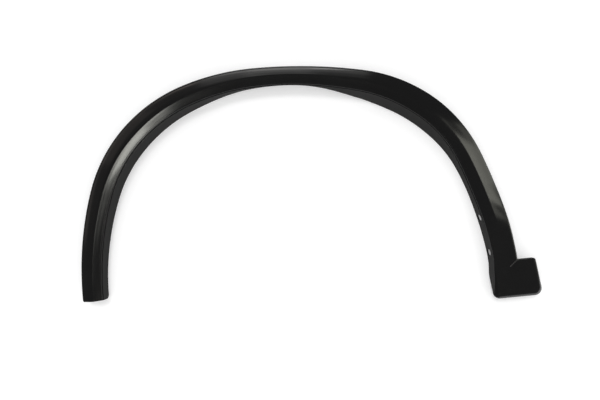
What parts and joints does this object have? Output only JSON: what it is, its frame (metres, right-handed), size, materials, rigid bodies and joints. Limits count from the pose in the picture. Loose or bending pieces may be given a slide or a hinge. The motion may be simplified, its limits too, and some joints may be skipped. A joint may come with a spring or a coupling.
{
  "type": "wheel arch trim",
  "caption": "Black moulded trim for a car's front left wheel arch: creased two-band face, return flange with two fixing holes, rectangular foot at the rear, clip seats behind.",
  "frame": {"origin": "middle of the trim's outline, on the surface that it lies on, face up", "axes": "+X along the car towards its rear (the foot's side), +Y up the side of the car, +Z outwards from the car, out of the face"},
  "size_m": [0.893, 0.4902, 0.0467],
  "materials": {
    "trim_plastic": "satin, lightly grained"
  },
  "bodies": {
    "root": {"arch_trim": "trim_plastic"}
  },
  "joints": []
}
